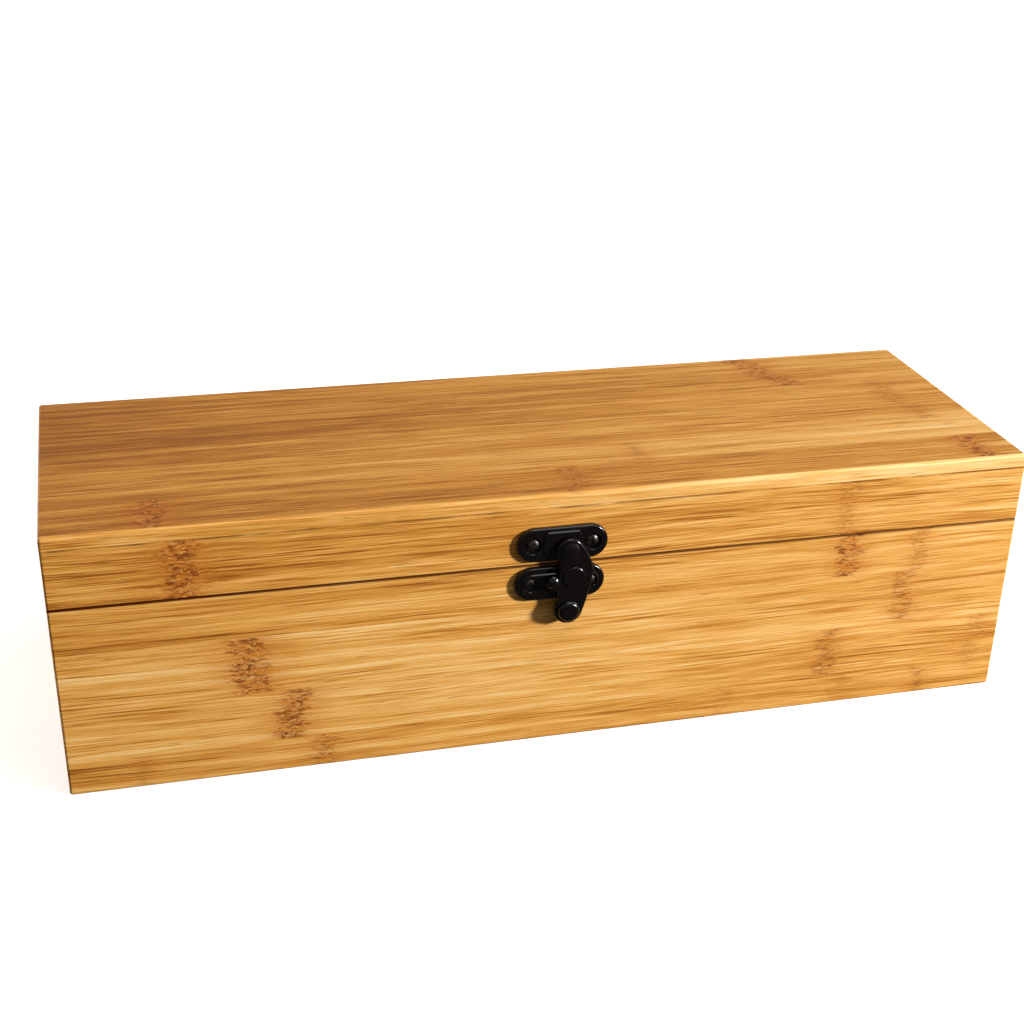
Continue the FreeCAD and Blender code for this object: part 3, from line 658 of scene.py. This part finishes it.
def area_light(name, place, target, size, power):
    """A square soft light that faces a point."""
    lamp = bpy.data.lights.new(name, "AREA")
    lamp.size = size
    lamp.energy = power
    made = bpy.data.objects.new(name, lamp)
    made.location = place
    made.rotation_mode = "QUATERNION"
    made.rotation_quaternion = (Vector(target) - Vector(place)).to_track_quat("-Z", "Y")
    bpy.context.collection.objects.link(made)


def glowing_paper():
    """Pale matt paper, lit evenly, with a glow that grows outwards: a ground without an edge."""
    material, tree = new_material("pale_matt_paper")
    where = add(tree, "TexCoord").outputs["Object"]
    far = add(tree, "VectorMath", [where], operation="LENGTH")
    feeds = {
        "Base Color": shade("#f6f6f6"),
        "Roughness": 0.9,
        "Emission Color": shade("#ffffff"),
        "Emission Strength": add(tree, "MapRange", [far, *GLOW]),
    }
    add(tree, "OutputMaterial", [add(tree, "BsdfPrincipled", feeds)])
    return material


def pale_sweep(name, profile):
    """A floor turned about the upright axis from a profile of (radius, height). It glows for the
    eye only, and throws no light or reflection on the box."""
    mesh = bpy.data.meshes.new(name)
    shape = bmesh.new()
    angles = [math.tau * side / SWEEP_SIDES for side in range(SWEEP_SIDES)]
    rings = []
    for radius, height in profile:
        places = [(radius * math.cos(angle), radius * math.sin(angle), height) for angle in angles]
        rings.append([shape.verts.new(place) for place in places])
    for inner, outer in zip(rings, rings[1:]):
        for side in range(SWEEP_SIDES):
            after = (side + 1) % SWEEP_SIDES
            shape.faces.new((inner[side], outer[side], outer[after], inner[after]))
    bmesh.ops.remove_doubles(shape, verts=shape.verts, dist=MM)
    for face in shape.faces:
        face.smooth = True
    shape.to_mesh(mesh)
    shape.free()
    made = bpy.data.objects.new(name, mesh)
    bpy.context.collection.objects.link(made)
    mesh.materials.append(glowing_paper())
    made.visible_diffuse = False
    made.visible_glossy = False
    return made


def room_light(ground, room):
    """A world that is dim at the horizon and below it, and even above."""
    world = bpy.data.worlds.new("even_light")
    world.use_nodes = True
    tree = world.node_tree
    way = add(tree, "TexCoord").outputs["Generated"]
    height = add(tree, "SeparateXYZ", [way]).outputs["Z"]
    sky = add(tree, "ValToRGB", [height])
    dim = ground / room
    fill_ramp(sky.color_ramp, [(0.0, (dim, dim, dim, 1)), (BRIGHT_FROM, (1, 1, 1, 1))])
    backdrop = tree.nodes["Background"]
    tree.links.new(sky.outputs["Color"], backdrop.inputs["Color"])
    backdrop.inputs["Strength"].default_value = room
    return world


def photo_camera(place, lens):
    """The camera that the photograph was taken with."""
    camera_data = bpy.data.cameras.new("camera")
    camera_data.sensor_width = SENSOR_WIDTH
    camera_data.lens = lens
    camera_data.shift_x, camera_data.shift_y = CAMERA_SHIFT
    camera = bpy.data.objects.new("camera", camera_data)
    turn = Matrix((CAMERA_RIGHT, -CAMERA_DOWN, -CAMERA_AHEAD)).transposed()
    camera.matrix_world = Matrix.Translation(place) @ turn.to_4x4()
    bpy.context.collection.objects.link(camera)
    return camera


class BAMBOO_OT_stage(bpy.types.Operator):
    """Set up the floor, the lights and the photograph's camera"""

    bl_idname = "bamboo_box.stage"
    bl_label = "Set up studio"

    def execute(self, context):
        setting = context.scene.bamboo_box.stage
        profile = [(0.0, 0.0), (setting.floor, 0.0)]
        for step in range(1, RISE_STEPS + 1):
            angle = math.radians(step * 90 / RISE_STEPS)
            reach = setting.floor + RISE * math.sin(angle)
            profile.append((reach, RISE - RISE * math.cos(angle)))
        profile.append((setting.floor + RISE, BACKDROP))
        pale_sweep("floor", profile)

        context.scene.world = room_light(setting.ground, setting.room)
        for name, place, size, power in LIGHTS:
            area_light(name, place, AIM, size, getattr(setting, power))
        context.scene.camera = photo_camera(setting.eye, setting.lens)
        context.scene.view_settings.view_transform = "Standard"
        return {"FINISHED"}


class BAMBOO_PT_panel(bpy.types.Panel):
    """Lists the steps that finish the box and set up its studio, and their settings"""

    bl_idname = "BAMBOO_PT_panel"
    bl_label = "Bamboo Box"
    bl_space_type = "VIEW_3D"
    bl_region_type = "UI"
    bl_category = "Bamboo Box"

    def draw(self, context):
        layout = self.layout
        for operator in OPERATORS:
            layout.operator(operator.bl_idname)
        for name in ("bamboo", "metal", "stage"):
            group = getattr(context.scene.bamboo_box, name)
            for prop in group.bl_rna.properties:
                if prop.identifier not in ("rna_type", "name"):
                    layout.prop(group, prop.identifier)


OPERATORS = (BAMBOO_OT_boards, BAMBOO_OT_metal, BAMBOO_OT_stage)
CLASSES = (
    BambooSettings,
    MetalSettings,
    StageSettings,
    BoxSettings,
    *OPERATORS,
    BAMBOO_PT_panel,
)


def register():
    for cls in CLASSES:
        bpy.utils.register_class(cls)
    bpy.types.Scene.bamboo_box = PointerProperty(
        name="Bamboo box", description="The box's finishes and its studio", type=BoxSettings
    )


def unregister():
    del bpy.types.Scene.bamboo_box
    for cls in reversed(CLASSES):
        bpy.utils.unregister_class(cls)


def main():
    register()
    bpy.ops.bamboo_box.boards()
    bpy.ops.bamboo_box.metal()
    bpy.ops.bamboo_box.stage()


if __name__ == "__main__":
    main()
